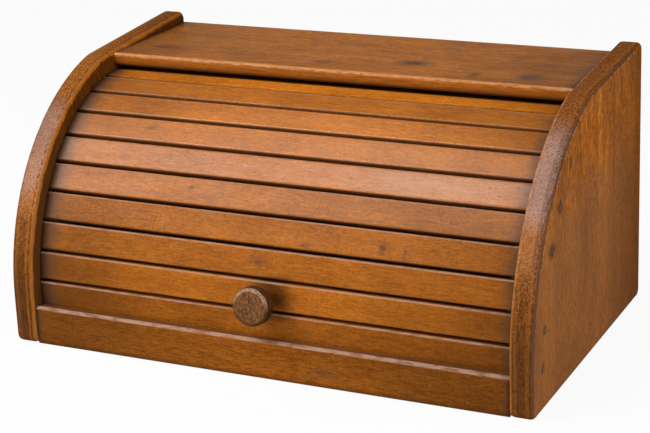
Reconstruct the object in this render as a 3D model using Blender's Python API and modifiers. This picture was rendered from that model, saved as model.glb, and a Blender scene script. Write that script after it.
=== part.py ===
"""Roll-top bread box in varnished wood.

Two shaped side boards carry a top board, a back panel, a bottom board and a front rail.
A tambour of wooden slats, backed by cloth, runs in a groove in each side board: up the round
front, under the top board and down behind the bread. A turned knob on the second slat opens it.

X runs to the right as seen from the front, the front faces -Y and Z is up. The origin is on the
surface the box stands on, midway between the sides and midway from the sides' front to their back.
"""
import math

import bmesh
import bpy
import numpy as np
from mathutils import Matrix

# Cabinet, in metres
WIDTH = 0.400
DEPTH = 0.245
SIDE_THICKNESS = 0.017
FIT_GAP = 0.0003

# Outline of a side board: an upright foot, a round front and a flat top that rises a little to the back
OUTLINE_RADIUS = 0.1575
ROUND_CENTRE_HEIGHT = 0.036
TOP_CORNER_FROM_BACK = 0.1235
TOP_SLOPE = 0.070
SIDE_CORNER_RADIUS = 0.006
SIDE_EDGE_ROUNDING = 0.0032
TOP_CORNER_ROUNDING = 0.055

# Top board, back panel, bottom board
TOP_BOARD_DEPTH = 0.1125
TOP_BOARD_THICKNESS = 0.010
TOP_BOARD_BELOW_ROUND = 0.0150
NOSE_UPPER_ROUNDING = 0.0035
NOSE_LOWER_ROUNDING = 0.0025
BACK_PANEL_THICKNESS = 0.007
BOTTOM_BOARD_THICKNESS = 0.009
BOARD_BACK_ROUNDING = 0.0013
BOARD_EDGE_BREAK = 0.0006

# Front rail with a rebate behind its lip, where the lowest slat comes down
RAIL_SETBACK = 0.003
RAIL_THICKNESS = 0.020
RAIL_HEIGHT = 0.0285
LIP_THICKNESS = 0.0072
RAIL_FRONT_ROUNDING = 0.003
LIP_BACK_ROUNDING = 0.001
SLAT_REST_GAP = 0.0004

# Tambour track: the line of the backing cloth, with distances along it from the lowest slat's edge
CLOTH_INSET = 0.019
LOWEST_ANGLE = math.radians(-4.6)
TIGHTENING_STARTS = math.radians(37.0)
TIGHTENING_LENGTH = 0.1957
TRACK_STEP = 0.0001
TRACK_BELOW_START = 0.02
TRACK_LENGTH = 0.45

# Slats
SLAT_COUNT = 11
SLAT_STEP = 0.02108
SLAT_GAP = 0.0011
SLAT_THICKNESS = 0.007
SLAT_EDGE_ROUNDING = 0.0018
SLAT_EDGE_BREAK = 0.0005
SHOULDER_CLEARANCE = 0.0006
TONGUE_THICKNESS = 0.0028
TONGUE_FROM_SLAT_BACK = 0.00135
TONGUE_INSET = 0.0015
TONGUE_END_CLEARANCE = 0.0008
OPENING_TRAVEL = 0.161

# Grooves and the strips nailed below them
GROOVE_DEPTH = 0.0065
GROOVE_INNER_CLEARANCE = 0.00095
GROOVE_OUTER_CLEARANCE = 0.00245
GROOVE_END_CLEARANCE = 0.0014
GROOVE_SAMPLE = 0.008
RUNNER_BELOW_CLOTH_LINE = 0.0004
RUNNER_HEIGHT = 0.010
RUNNER_THICKNESS = 0.008
RUNNER_STARTS = 0.001
RUNNER_ENDS = 0.205

# Backing cloth, in one piece per slat
CLOTH_THICKNESS = 0.0007
CLOTH_GAP = 0.0004
CLOTH_FROM_RUNNER = 0.0007

# Knob, on the second slat as counted from the lowest, set low on it, and the screw that holds it
KNOB_SLAT_COUNT = 2
KNOB_BELOW_SLAT_MIDDLE = 0.0043
KNOB_LENGTH = 0.020
KNOB_RADIUS = 0.0138
KNOB_RIM_ROUNDING = 0.0032
KNOB_HEAD_UNDERSIDE = 0.0103
KNOB_UNDERSIDE_ROUNDING = 0.0012
KNOB_COVE_RADIUS = 0.0077
KNOB_FOOT_ANGLE = 199.0
KNOB_BORE_DEPTH = 0.012
SCREW_RADIUS = 0.0016
SCREW_HEAD_RADIUS = 0.0038
SCREW_HEAD_HEIGHT = 0.002
SCREW_HEAD_DOME = 0.0008
SCREW_REACH_IN_KNOB = 0.0105
TURNED_STEPS = 28
HOLE_SIDES = 24

WELD_DISTANCE = 0.00001
FLAT_ANGLE = math.radians(0.1)
SHARP_ANGLE = math.radians(30)
POLE_SAMPLES = 33
ALONG_TRACK_WEIGHT = 0.6
ACROSS_X = Matrix(((0, 0, 1, 0), (1, 0, 0, 0), (0, 1, 0, 0), (0, 0, 0, 1)))

inner_half = WIDTH / 2 - SIDE_THICKNESS
cloth_radius = OUTLINE_RADIUS - CLOTH_INSET
top_board_underside = ROUND_CENTRE_HEIGHT + OUTLINE_RADIUS - TOP_BOARD_BELOW_ROUND
board_half = inner_half - FIT_GAP
slat_half_width = (SLAT_STEP - SLAT_GAP) / 2
slat_back = CLOTH_THICKNESS / 2 + FIT_GAP
slat_front = slat_back + SLAT_THICKNESS
tongue_back = slat_back + TONGUE_FROM_SLAT_BACK
tongue_front = tongue_back + TONGUE_THICKNESS
groove_back = tongue_back - GROOVE_INNER_CLEARANCE
groove_front = tongue_front + GROOVE_OUTER_CLEARANCE
slat_half_length = inner_half - SHOULDER_CLEARANCE
tongue_half_length = inner_half + GROOVE_DEPTH - TONGUE_END_CLEARANCE
hole_radius = SCREW_RADIUS + FIT_GAP


def from_back(distance):
    """The Y of a point that lies this far in front of the cabinet's back."""
    return DEPTH / 2 - distance


round_centre = np.array([from_back(DEPTH - OUTLINE_RADIUS), ROUND_CENTRE_HEIGHT])


def clear_scene():
    for item in list(bpy.data.objects):
        bpy.data.objects.remove(item, do_unlink=True)


def new_collection(name):
    collection = bpy.data.collections.new(name)
    bpy.context.scene.collection.children.link(collection)
    return collection


def material(name, colour, roughness, metallic=0.0):
    """A surface with one colour, roughness and metallic value."""
    surface = bpy.data.materials.new(name)
    surface.use_nodes = True
    shader = surface.node_tree.nodes["Principled BSDF"]
    shader.inputs["Base Color"].default_value = (*colour, 1.0)
    shader.inputs["Roughness"].default_value = roughness
    shader.inputs["Metallic"].default_value = metallic
    return surface


def arc(centre, radius, start_degrees, end_degrees, steps):
    """Points along an arc, both ends included."""
    angles = np.radians(np.linspace(start_degrees, end_degrees, steps + 1))
    return [(centre[0] + radius * math.cos(a), centre[1] + radius * math.sin(a)) for a in angles]


def rounded(corners, steps=4):
    """An outline from (y, z, rounding) corners, each rounded corner drawn as a short arc."""
    outline = []
    for index, (y, z, radius) in enumerate(corners):
        here = np.array([y, z])
        if radius == 0:
            outline.append((y, z))
            continue
        before = np.array(corners[index - 1][:2]) - here
        after = np.array(corners[(index + 1) % len(corners)][:2]) - here
        before /= np.linalg.norm(before)
        after /= np.linalg.norm(after)
        half_angle = math.acos(float(np.clip(before @ after, -1, 1))) / 2
        middle = before + after
        centre = here + middle / np.linalg.norm(middle) * radius / math.sin(half_angle)
        first = here + before * radius / math.tan(half_angle) - centre
        last = here + after * radius / math.tan(half_angle) - centre
        turn = math.atan2(first[0] * last[1] - first[1] * last[0], first @ last)
        for angle in np.linspace(0, turn, steps + 1):
            cosine, sine = math.cos(angle), math.sin(angle)
            outline.append((centre[0] + cosine * first[0] - sine * first[1],
                            centre[1] + sine * first[0] + cosine * first[1]))
    return outline


def solid_mesh(holder):
    """The evaluated mesh of an object, welded, with its flat faces whole and turned outward."""
    bpy.context.view_layer.update()
    graph = bpy.context.evaluated_depsgraph_get()
    mesh = bpy.data.meshes.new_from_object(holder.evaluated_get(graph))
    shape = bmesh.new()
    shape.from_mesh(mesh)
    bmesh.ops.remove_doubles(shape, verts=shape.verts, dist=WELD_DISTANCE)
    bmesh.ops.dissolve_limit(shape, angle_limit=FLAT_ANGLE, verts=shape.verts, edges=shape.edges)
    bmesh.ops.recalc_face_normals(shape, faces=shape.faces)
    shape.to_mesh(mesh)
    shape.free()
    mesh.shade_smooth()
    mesh.set_sharp_from_angle(angle=SHARP_ANGLE)
    return mesh


def bar_across(name, outline, x_low, x_high, collection):
    """A bar along X whose section is the given outline of (y, z) points."""
    curve = bpy.data.curves.new(name + "_outline", "CURVE")
    curve.dimensions = "2D"
    curve.fill_mode = "BOTH"
    curve.extrude = (x_high - x_low) / 2
    spline = curve.splines.new("POLY")
    spline.points.add(len(outline) - 1)
    for point, (y, z) in zip(spline.points, outline):
        point.co = (y, z, 0, 1)
    spline.use_cyclic_u = True
    holder = bpy.data.objects.new(name + "_outline", curve)
    holder.matrix_world = Matrix.Translation(((x_low + x_high) / 2, 0, 0)) @ ACROSS_X
    collection.objects.link(holder)
    bar = bpy.data.objects.new(name, solid_mesh(holder))
    bar.matrix_world = holder.matrix_world
    collection.objects.link(bar)
    bpy.data.objects.remove(holder, do_unlink=True)
    return bar


def box(name, low, high, collection):
    """A box between two corners, with its origin at its centre."""
    mesh = bpy.data.meshes.new(name)
    shape = bmesh.new()
    size = [b - a for a, b in zip(low, high)]
    bmesh.ops.create_cube(shape, size=1.0, matrix=Matrix.Diagonal((*size, 1)))
    shape.to_mesh(mesh)
    shape.free()
    item = bpy.data.objects.new(name, mesh)
    item.location = [(a + b) / 2 for a, b in zip(low, high)]
    collection.objects.link(item)
    return item


def turned(name, profile, collection):
    """A piece turned about Z from a profile of (radius, height) points, listed top to bottom."""
    mesh = bpy.data.meshes.new(name)
    edges = [(index, index + 1) for index in range(len(profile) - 1)]
    mesh.from_pydata([(radius, 0, height) for radius, height in profile], edges, [])
    item = bpy.data.objects.new(name, mesh)
    collection.objects.link(item)
    screw = item.modifiers.new("Turned", "SCREW")
    screw.steps = TURNED_STEPS
    screw.render_steps = TURNED_STEPS
    screw.use_merge_vertices = True
    screw.merge_threshold = WELD_DISTANCE
    screw.use_smooth_shade = True
    return item


def bevel(item, width, segments, angle=math.radians(40)):
    modifier = item.modifiers.new("Rounded edges", "BEVEL")
    modifier.width = width
    modifier.segments = segments
    modifier.limit_method = "ANGLE"
    modifier.angle_limit = angle


def combine(item, other, operation):
    modifier = item.modifiers.new(operation.title(), "BOOLEAN")
    modifier.operation = operation
    modifier.object = other
    other.hide_render = True
    other.display_type = "WIRE"


class Track:
    """The line of the backing cloth in the (y, z) plane, by distance from the lowest slat's edge.

    It is a circle up the front and then tightens evenly, so that it passes under the top board
    and turns down behind the bread. Over the tightening length the curvature grows by that of a
    circle with the same length as its radius.
    """

    def __init__(self):
        self.distance = np.arange(-TRACK_BELOW_START, TRACK_LENGTH, TRACK_STEP)
        tightening_start = (TIGHTENING_STARTS - LOWEST_ANGLE) * cloth_radius
        beyond = np.clip(self.distance - tightening_start, 0, None)
        curvature = 1 / cloth_radius + beyond / TIGHTENING_LENGTH ** 2
        self.angle = self.summed(curvature, LOWEST_ANGLE)
        start = round_centre + cloth_radius * self.outward(LOWEST_ANGLE)
        self.y = self.summed(np.sin(self.angle), start[0])
        self.z = self.summed(np.cos(self.angle), start[1])

    def summed(self, slope, value_at_start):
        total = np.concatenate([[0], np.cumsum((slope[1:] + slope[:-1]) / 2 * TRACK_STEP)])
        return total - np.interp(0, self.distance, total) + value_at_start

    @staticmethod
    def outward(angle):
        """The direction out of the box, for an angle above the front's level direction."""
        return np.array([-math.cos(angle), math.sin(angle)])

    @staticmethod
    def along(angle):
        """The opening direction along the track."""
        return np.array([math.sin(angle), math.cos(angle)])

    def angle_at(self, distance):
        return float(np.interp(distance, self.distance, self.angle))

    def point(self, distance, offset=0.0):
        """The point that lies offset out of the box from the cloth line."""
        on_line = np.array([np.interp(distance, self.distance, line) for line in (self.y, self.z)])
        return on_line + offset * self.outward(self.angle_at(distance))

    def band(self, first, last, low_offset, high_offset, round_ends):
        """The outline of a strip that follows the track between two offsets."""
        count = math.ceil((last - first) / GROOVE_SAMPLE)
        distances = np.linspace(first, last, count + 1)
        outline = [tuple(self.point(d, high_offset)) for d in distances]
        if round_ends:
            outline += self.round_end(last, low_offset, high_offset, 1)
        outline += [tuple(self.point(d, low_offset)) for d in reversed(distances)]
        if round_ends:
            outline += self.round_end(first, low_offset, high_offset, -1)
        return outline

    def round_end(self, distance, low_offset, high_offset, direction):
        """The half circle that closes a routed groove, without its two end points."""
        angle = self.angle_at(distance)
        centre = self.point(distance, (low_offset + high_offset) / 2)
        radius = (high_offset - low_offset) / 2
        points = []
        for turn in np.linspace(0, math.pi, 7)[1:-1]:
            sideways = math.cos(turn) * self.outward(angle) * direction
            forward = math.sin(turn) * self.along(angle) * direction
            points.append(tuple(centre + radius * (sideways + forward)))
        return points


track = Track()


def slat_middle(number):
    return (number - 0.5) * SLAT_STEP


def turn_matrix(angle):
    """Turns (y, z) vectors in the opening direction."""
    cosine, sine = math.cos(angle), math.sin(angle)
    return np.array([[cosine, sine], [-sine, cosine]])


def swing(number):
    """The fixed point and the angle that carry a slat nearest along the track, from shut to open.

    A slat that turns about one fixed point stays within its groove, because the track's curve
    changes slowly. The fit is by least squares over the whole way, with the shut place exact.
    """
    start = slat_middle(number)
    track_turn = track.angle_at(start + OPENING_TRAVEL) - track.angle_at(start)
    tongue_middle = (tongue_back + tongue_front) / 2
    tongue_half_width = slat_half_width - TONGUE_INSET
    probes = [(-tongue_half_width, tongue_middle), (tongue_half_width, tongue_middle), (0, tongue_middle)]

    def probe_points(distance):
        angle = track.angle_at(distance)
        return [track.point(distance, offset) + step * track.along(angle) for step, offset in probes]

    shut = probe_points(start)
    best = None
    for turn in track_turn * np.linspace(0.97, 1.03, 25):
        rows, values = [], []
        for share in np.linspace(0, 1, POLE_SAMPLES)[1:]:
            matrix = turn_matrix(turn * share)
            distance = start + OPENING_TRAVEL * share
            angle = track.angle_at(distance)
            for before, after in zip(shut, probe_points(distance)):
                miss = after - matrix @ before
                for direction, weight in ((track.outward(angle), 1), (track.along(angle), ALONG_TRACK_WEIGHT)):
                    rows.append(weight * direction @ (np.eye(2) - matrix))
                    values.append(weight * direction @ miss)
        rows, values = np.array(rows), np.array(values)
        pole = np.linalg.lstsq(rows, values, rcond=None)[0]
        error = float(((rows @ pole - values) ** 2).sum())
        if best is None or error < best[0]:
            best = (error, pole, turn)
    return best[1], best[2]


def side_outline():
    """The side board's outline, with its upright foot, round front, sloped top and eased corners."""
    corner_y = from_back(TOP_CORNER_FROM_BACK)
    front_y = from_back(DEPTH)
    corner_rise = math.sqrt(OUTLINE_RADIUS ** 2 - (corner_y - round_centre[0]) ** 2)
    corner_height = ROUND_CENTRE_HEIGHT + corner_rise
    back_height = corner_height + TOP_SLOPE * TOP_CORNER_FROM_BACK
    top_angle = math.degrees(math.atan2(corner_rise, corner_y - round_centre[0]))
    front = arc(round_centre, OUTLINE_RADIUS, top_angle, 180, 30)
    corners = [(from_back(0), 0, SIDE_CORNER_RADIUS), (from_back(0), back_height, SIDE_CORNER_RADIUS)]
    corners.append((*front[0], TOP_CORNER_ROUNDING))
    corners += [(y, z, 0) for y, z in front[1:]]
    corners.append((front_y, 0, SIDE_CORNER_RADIUS))
    return rounded(corners)


def make_sides(parts, cutters, wood):
    """Both side boards, each with the tambour's groove routed in its inner face."""
    first = SLAT_GAP / 2 + TONGUE_INSET + GROOVE_END_CLEARANCE
    last = SLAT_COUNT * SLAT_STEP + OPENING_TRAVEL - first + 2 * GROOVE_END_CLEARANCE
    groove = track.band(first, last, groove_back, groove_front, round_ends=True)
    for name, sign in (("left_side", -1), ("right_side", 1)):
        near, far = sorted((sign * inner_half, sign * WIDTH / 2))
        side = bar_across(name, side_outline(), near, far, parts)
        bevel(side, SIDE_EDGE_ROUNDING, 3)
        near, far = sorted((sign * (inner_half - GROOVE_DEPTH), sign * (inner_half + GROOVE_DEPTH)))
        combine(side, bar_across(name + "_groove", groove, near, far, cutters), "DIFFERENCE")
        side.data.materials.append(wood)


def make_runners(parts, wood):
    """A curved strip inside each side board, just below the slats."""
    high = -RUNNER_BELOW_CLOTH_LINE
    outline = track.band(RUNNER_STARTS, RUNNER_ENDS, high - RUNNER_HEIGHT, high, round_ends=False)
    for name, sign in (("runner_left", -1), ("runner_right", 1)):
        near, far = sorted((sign * (board_half - RUNNER_THICKNESS), sign * board_half))
        strip = bar_across(name, outline, near, far, parts)
        strip.data.materials.append(wood)


def make_boards(parts, wood, panel_wood):
    """Top board with a rounded nose, back panel and bottom board."""
    front = from_back(TOP_BOARD_DEPTH)
    top = top_board_underside + TOP_BOARD_THICKNESS
    back = from_back(0)
    outline = rounded([(front, top_board_underside, NOSE_LOWER_ROUNDING), (back, top_board_underside, 0),
                       (back, top, BOARD_BACK_ROUNDING), (front, top, NOSE_UPPER_ROUNDING)], steps=5)
    top_board = bar_across("top_board", outline, -board_half, board_half, parts)
    top_board.data.materials.append(wood)

    panel_front = from_back(BACK_PANEL_THICKNESS)
    back_panel = box("back_panel", (-board_half, panel_front, 0),
                     (board_half, back, top_board_underside - FIT_GAP), parts)
    rail_back = from_back(DEPTH - RAIL_SETBACK - RAIL_THICKNESS)
    bottom_board = box("bottom_board", (-board_half, rail_back + FIT_GAP, 0),
                       (board_half, panel_front - FIT_GAP, BOTTOM_BOARD_THICKNESS), parts)
    for board in (back_panel, bottom_board):
        bevel(board, BOARD_EDGE_BREAK, 1)
        board.data.materials.append(panel_wood)


def lowest_slat_edge():
    """The height of the lowest slat's under edge when the tambour is shut."""
    middle = track.point(slat_middle(1), slat_front)
    return middle[1] - slat_half_width * math.cos(track.angle_at(slat_middle(1)))


def make_rail(parts, wood):
    """The front rail: a lip in front of the lowest slat and a rebate that the slat comes down on."""
    front = from_back(DEPTH - RAIL_SETBACK)
    lip_back = front + LIP_THICKNESS
    back = front + RAIL_THICKNESS
    rest = lowest_slat_edge() - SLAT_REST_GAP
    outline = rounded([(front, 0, BOARD_EDGE_BREAK), (back, 0, 0), (back, rest, 0), (lip_back, rest, 0),
                       (lip_back, RAIL_HEIGHT, LIP_BACK_ROUNDING), (front, RAIL_HEIGHT, RAIL_FRONT_ROUNDING)])
    rail = bar_across("front_rail", outline, -board_half, board_half, parts)
    rail.data.materials.append(wood)


def slat_outline():
    """A slat's section: its back at +Y, its face at -Y with rounded long edges, Z along the track."""
    half = slat_half_width
    return rounded([(-slat_back, -half, SLAT_EDGE_BREAK), (-slat_back, half, SLAT_EDGE_BREAK),
                    (-slat_front, half, SLAT_EDGE_ROUNDING),
                    (-slat_front, -half, SLAT_EDGE_ROUNDING)], steps=3)


def make_slat_mesh(cutters):
    """The slat that all copies share: a bar whose ends are cut back to a tongue."""
    bar = bar_across("slat_bar", slat_outline(), -slat_half_length, slat_half_length, cutters)
    half_width = slat_half_width - TONGUE_INSET
    tongue = box("slat_tongue", (-tongue_half_length, -tongue_front, -half_width),
                 (tongue_half_length, -tongue_back, half_width), cutters)
    combine(bar, tongue, "UNION")
    mesh = solid_mesh(bar)
    mesh.transform(bar.matrix_world)
    for helper in (bar, tongue):
        bpy.data.objects.remove(helper, do_unlink=True)
    return mesh


def make_cloth_mesh(cutters):
    """One slat's width of the backing cloth."""
    half_length = board_half - RUNNER_THICKNESS - CLOTH_FROM_RUNNER
    half_width = (SLAT_STEP - CLOTH_GAP) / 2
    strip = box("cloth_strip", (-half_length, -CLOTH_THICKNESS / 2, -half_width),
                (half_length, CLOTH_THICKNESS / 2, half_width), cutters)
    mesh = strip.data
    bpy.data.objects.remove(strip, do_unlink=True)
    return mesh


def seat(item, axis_point, distance, offset, tilt, up_slat=0.0):
    """Parents an item to its swing point, at a place on the track and turned with it.

    up_slat moves it from there along the flat back of its slat.
    """
    place = track.point(distance, offset) + up_slat * track.along(track.angle_at(distance))
    item.parent = axis_point
    item.location = (0, place[0] - axis_point.location.y, place[1] - axis_point.location.z)
    item.rotation_euler = (tilt - track.angle_at(distance), 0, 0)


def make_tambour(parts, cutters, wood, cloth):
    """Every slat with its strip of cloth, each pair on the point that it turns about."""
    slat_mesh = make_slat_mesh(cutters)
    cloth_mesh = make_cloth_mesh(cutters)
    slat_mesh.materials.append(wood)
    cloth_mesh.materials.append(cloth)
    for number in range(1, SLAT_COUNT + 1):
        pole, _ = swing(number)
        axis_point = bpy.data.objects.new(f"swing_{number:02d}", None)
        axis_point.location = (0, *pole)
        parts.objects.link(axis_point)
        for label, mesh in (("slat", slat_mesh), ("cloth", cloth_mesh)):
            item = bpy.data.objects.new(f"{label}_{number:02d}", mesh)
            parts.objects.link(item)
            seat(item, axis_point, slat_middle(number), 0, 0)


def screw_hole(axis_point, cutters):
    """The hole for the knob's screw, through the knob's slat and its cloth."""
    mesh = bpy.data.meshes.new("screw_hole")
    shape = bmesh.new()
    bmesh.ops.create_cone(shape, cap_ends=True, segments=HOLE_SIDES, radius1=hole_radius,
                          radius2=hole_radius, depth=4 * SLAT_THICKNESS)
    shape.to_mesh(mesh)
    shape.free()
    hole = bpy.data.objects.new("screw_hole", mesh)
    cutters.objects.link(hole)
    seat(hole, axis_point, slat_middle(KNOB_SLAT_COUNT), slat_back, math.pi / 2, -KNOB_BELOW_SLAT_MIDDLE)
    return hole


def knob_profile():
    """The knob from the middle of its face, over the rim and the neck, to the foot and the bore."""
    length, radius, rim = KNOB_LENGTH, KNOB_RADIUS, KNOB_RIM_ROUNDING
    under = KNOB_UNDERSIDE_ROUNDING
    cove_centre = (radius - under, KNOB_HEAD_UNDERSIDE - KNOB_COVE_RADIUS)
    points = [(0, length)]
    points += arc((radius - rim, length - rim), rim, 90, 0, 5)
    points += arc((radius - under, KNOB_HEAD_UNDERSIDE + under), under, 0, -90, 3)
    points += arc(cove_centre, KNOB_COVE_RADIUS, 90, KNOB_FOOT_ANGLE, 8)[1:]
    foot_radius = points[-1][0]
    points += [(foot_radius, 0), (hole_radius, 0), (hole_radius, KNOB_BORE_DEPTH), (0, KNOB_BORE_DEPTH)]
    return points


def screw_profile():
    """The screw from its tip in the knob down to the middle of its domed head."""
    head_top = 0.0
    tip = SLAT_THICKNESS + CLOTH_THICKNESS + 3 * FIT_GAP + SCREW_REACH_IN_KNOB
    return [(0, tip), (SCREW_RADIUS, tip), (SCREW_RADIUS, head_top), (SCREW_HEAD_RADIUS, head_top),
            (SCREW_HEAD_RADIUS, SCREW_HEAD_DOME - SCREW_HEAD_HEIGHT), (0, -SCREW_HEAD_HEIGHT)]


def make_knob(parts, cutters, knob_wood, steel):
    """The knob in front of its slat, and its screw from the cloth's side."""
    axis_point = bpy.data.objects[f"swing_{KNOB_SLAT_COUNT:02d}"]
    hole = screw_hole(axis_point, cutters)
    for label in ("slat", "cloth"):
        combine(bpy.data.objects[f"{label}_{KNOB_SLAT_COUNT:02d}"], hole, "DIFFERENCE")
    knob = turned("knob", knob_profile(), parts)
    middle = slat_middle(KNOB_SLAT_COUNT)
    seat(knob, axis_point, middle, slat_front + FIT_GAP, math.pi / 2, -KNOB_BELOW_SLAT_MIDDLE)
    knob.data.materials.append(knob_wood)
    screw = turned("knob_screw", screw_profile(), parts)
    seat(screw, axis_point, middle, -CLOTH_THICKNESS / 2 - FIT_GAP, math.pi / 2, -KNOB_BELOW_SLAT_MIDDLE)
    screw.data.materials.append(steel)


def build():
    clear_scene()
    parts = new_collection("roll_top_bread_box")
    cutters = new_collection("cutters")
    side_wood = material("side_wood", (0.36, 0.125, 0.030), 0.42)
    slat_wood = material("slat_wood", (0.42, 0.150, 0.036), 0.36)
    board_wood = material("board_wood", (0.33, 0.125, 0.042), 0.40)
    panel_wood = material("panel_wood", (0.40, 0.200, 0.090), 0.60)
    knob_wood = material("knob_wood", (0.13, 0.058, 0.024), 0.50)
    cloth = material("backing_cloth", (0.36, 0.29, 0.20), 0.90)
    steel = material("screw_steel", (0.55, 0.54, 0.52), 0.35, 1.0)
    make_sides(parts, cutters, side_wood)
    make_runners(parts, panel_wood)
    make_boards(parts, board_wood, panel_wood)
    make_rail(parts, board_wood)
    make_tambour(parts, cutters, slat_wood, cloth)
    make_knob(parts, cutters, knob_wood, steel)


build()
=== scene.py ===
"""Looks for the roll-top bread box: varnished wood, backing cloth, nail heads, light and camera.

Every length is in metres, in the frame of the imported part: X to the right, the front faces -Y.
Colours are linear. A strength is the share, from 0 to 1, by which a colour covers what lies below.
"""

import math

import bmesh
import bpy
import numpy as np
from mathutils import Euler, Matrix, Vector


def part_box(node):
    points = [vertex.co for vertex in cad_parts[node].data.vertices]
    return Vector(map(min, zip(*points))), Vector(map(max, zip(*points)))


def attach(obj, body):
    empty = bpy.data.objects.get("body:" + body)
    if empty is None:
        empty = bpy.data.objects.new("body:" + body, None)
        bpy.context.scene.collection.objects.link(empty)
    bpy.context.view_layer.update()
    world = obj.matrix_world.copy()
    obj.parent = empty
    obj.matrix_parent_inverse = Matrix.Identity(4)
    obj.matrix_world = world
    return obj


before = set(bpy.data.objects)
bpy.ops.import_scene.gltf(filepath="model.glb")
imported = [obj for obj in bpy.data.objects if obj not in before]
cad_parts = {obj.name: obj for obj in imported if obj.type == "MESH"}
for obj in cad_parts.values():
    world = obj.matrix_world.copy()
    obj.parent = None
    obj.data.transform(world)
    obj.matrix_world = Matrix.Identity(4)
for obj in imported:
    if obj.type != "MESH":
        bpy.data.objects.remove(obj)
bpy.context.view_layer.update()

# Camera, fitted to the photograph's frame of 650 x 433 pixels, with its angles in degrees
IMAGE_WIDTH = 650
SENSOR_WIDTH = 36.0
CAMERA_PLACE = (0.5589, -1.1539, 0.5131)
CAMERA_YAW = 25.915
CAMERA_PITCH = 17.281
CAMERA_ROLL = -2.266
CAMERA_FOCAL_PIXELS = 1838.3
CAMERA_SHIFT_PIXELS = (0.3, -44.6)
CAMERA_CLIP = (0.01, 100.0)

# Light: direction towards each softbox, its distance from the box, its width, height and power
SOFTBOXES = {
    "key_softbox": ((-0.37, -0.40, 0.84), 1.5, 1.20, 0.70, 14.5),
    "left_softbox": ((-0.55, -0.72, 0.42), 1.8, 0.70, 0.70, 13.0),
    "right_softbox": ((0.92, -0.25, 0.30), 1.8, 1.00, 1.00, 13.0),
}
LIT_POINT = Vector((0, 0, 0.1))
AMBIENT = 0.22
# The backdrop fades between two heights of the view, given as sines, from its low to its high level
BACKDROP_FADE = (0.02, 0.20)
BACKDROP_LEVELS = (1.0, 0.20)
FLOOR_SIZE = 14.0
FLOOR_DROP = 0.0003
FLOOR_GLOW = 0.93
FLOOR_PAPER = (0.80, 0.80, 0.80, 1)

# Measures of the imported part
ROUND_CENTRE = (-0.035, 0.036)
OUTLINE_RADIUS = 0.1575
INNER_FACE = 0.183
OUTER_FACE = 0.200
TOP_FACE = 0.1885
SLAT_HALF_LENGTH = 0.1824

# Woods, each as its light and its dark colour
SLAT_LIGHT = (0.50, 0.156, 0.014)
SLAT_DARK = (0.31, 0.087, 0.008)
TOP_LIGHT = (0.47, 0.152, 0.013)
TOP_DARK = (0.27, 0.078, 0.007)
SIDE_LIGHT = (0.590, 0.180, 0.011)
SIDE_DARK = (0.280, 0.078, 0.007)
EDGE_LIGHT = (0.32, 0.098, 0.012)
EDGE_DARK = (0.12, 0.036, 0.007)
PANEL_LIGHT = (0.40, 0.215, 0.100)
PANEL_DARK = (0.29, 0.145, 0.062)
KNOB_BROWN = (0.20, 0.080, 0.022)
KNOB_DARK = (0.050, 0.020, 0.009)

# Worn and dirty places, painted shade, and painted sheen and highlights
PORE = (0.055, 0.015, 0.004)
SMUDGE = (0.090, 0.040, 0.026)
# Dirt; beside the side boards it also stands for painted shade in the corner
GRIME_AND_SHADE = (0.085, 0.042, 0.024)
SHADED = (0.062, 0.021, 0.004)
DEEP_SHADE = (0.012, 0.004, 0.002)
# Worn edges; where edges turn upwards this also stands for a painted highlight
WORN_AND_HIGHLIGHT = (0.46, 0.275, 0.195)
# Grey wear; half way up the side boards' narrow faces it also stands for a painted sheen
GREY_WEAR_AND_SHEEN = (0.47, 0.300, 0.245)
# Painted sheen on the slats
PAINTED_SHEEN = (0.66, 0.34, 0.20)
TAN = (0.52, 0.20, 0.060)
SIDE_DULL = (0.285, 0.119, 0.044)
SIDE_BACK = (0.120, 0.036, 0.003)
RIM_DIRT = (0.165, 0.090, 0.062)
EDGE_LOW = (0.088, 0.036, 0.014)
BAND_ORANGE = (0.46, 0.150, 0.015)
ARRIS_DARK = (0.080, 0.044, 0.030)
NOSE_BROWN = (0.380, 0.104, 0.002)
NOSE_DEEP = (0.170, 0.038, 0.001)
# Painted highlight along the top board's upper rim
NOSE_RIM_HIGHLIGHT = (0.590, 0.270, 0.105)
KNOB_LIGHT = (0.30, 0.125, 0.034)
# Grime that also stands for painted shade on the knob's side and lower rim
KNOB_GRIME_AND_SHADE = (0.028, 0.011, 0.005)
NAIL_DIRT = (0.045, 0.022, 0.014)

# Cloth and metal
CANVAS_DARK = (0.030, 0.020, 0.013)
CANVAS_LIGHT = (0.055, 0.038, 0.025)
CANVAS_HOLES = (0.012, 0.008, 0.005)
STEEL_LIGHT = (0.42, 0.40, 0.37)
STEEL_DARK = (0.24, 0.22, 0.20)
IRON_LIGHT = (0.060, 0.042, 0.032)
IRON_DARK = (0.020, 0.013, 0.010)

# Noise drawn out along the grain: its scales along and across, per metre, its detail and roughness
BENDS = (6.0, 16.0)
GROWTH_BANDS = (3.0, 60.0)
STREAKS = (42.0, 460.0, 3.0, 0.6)
FIBRES = (140.0, 950.0, 3.0, 0.68)
SMEARS = (12.0, 38.0, 4.0, 0.62)
RAGGED_RIMS = (160.0, 520.0, 3.0)
EDGE_CHIPS = (90.0, 420.0, 3.0, 0.6)
SHEEN_PATCHES = (40.0, 180.0, 3.0)
SIDE_PITS = (260.0, 620.0, 4.0, 0.72)
SIDE_SPECKLE = (190.0, 620.0, 4.0, 0.70)
SIDE_STREAKS = (110.0, 900.0, 3.0, 0.65)
SIDE_BENDS = (45.0, 200.0)
NOSE_MOTTLE = (60.0, 300.0, 3.0, 0.65)
NOSE_LINES = (60.0, 1300.0, 4.0, 0.7)
NOSE_CHIPS = (150.0, 700.0, 4.0, 0.7)
KNOB_FLECKS = (480.0, 780.0, 4.0, 0.72)
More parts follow.
